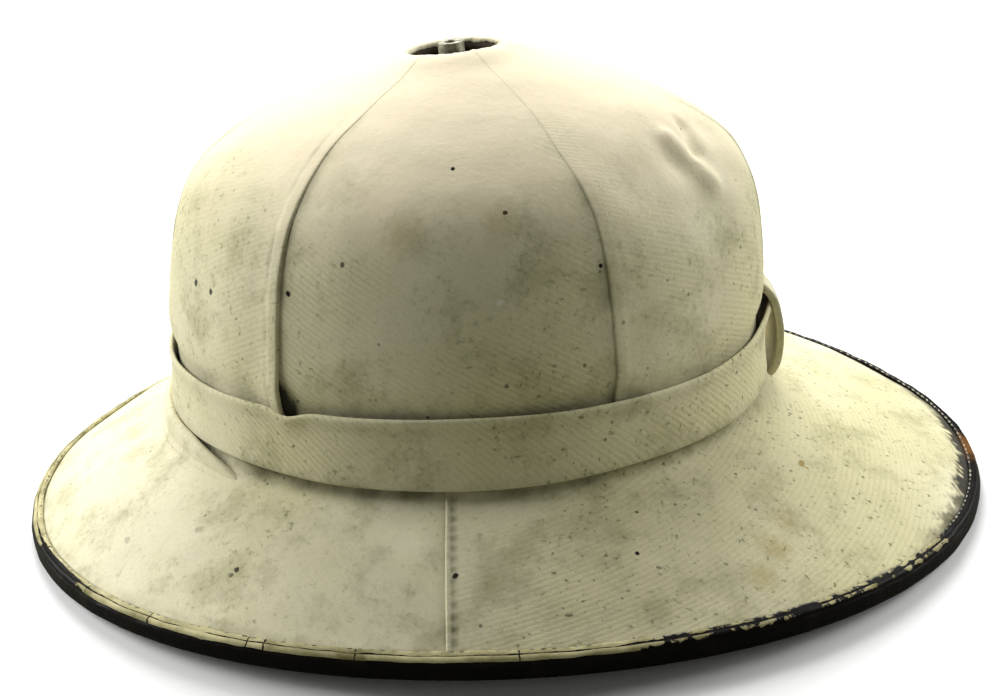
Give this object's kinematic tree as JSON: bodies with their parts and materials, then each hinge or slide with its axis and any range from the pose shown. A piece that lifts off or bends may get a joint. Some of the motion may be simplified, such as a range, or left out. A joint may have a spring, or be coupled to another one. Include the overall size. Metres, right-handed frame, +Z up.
{
  "type": "pith helmet",
  "caption": "Cloth-covered pith helmet with a domed panelled crown, open ventilator seat, folded hatband with rear keeper and a wide drooping leather-bound brim.",
  "frame": {"origin": "centre of the helmet's outline, at the height of the surface it rests on", "axes": "+Z up, -X towards the front of the helmet, +Y towards the wearer's right"},
  "size_m": [0.3426, 0.2828, 0.1601],
  "materials": {
    "cotton_drill": "off-white cotton twill, matt and stained",
    "folded_drill": "off-white cotton twill, pressed into folds",
    "pith": "bare moulded pith, matt brown",
    "leather": "black-brown leather with cracked cream paint along its bead",
    "zinc": "dull grey zinc"
  },
  "bodies": {
    "root": {"pith_shell": "pith", "gore_rear_right": "cotton_drill", "gore_side_right": "cotton_drill", "gore_front_right": "cotton_drill", "gore_front_left": "cotton_drill", "gore_side_left": "cotton_drill", "gore_rear_left": "cotton_drill", "brim_cover_rear": "cotton_drill", "brim_cover_front": "cotton_drill", "front_collar": "cotton_drill", "hatband": "folded_drill", "rear_keeper": "folded_drill", "rim_binding": "leather", "vent_socket": "zinc"}
  },
  "joints": []
}
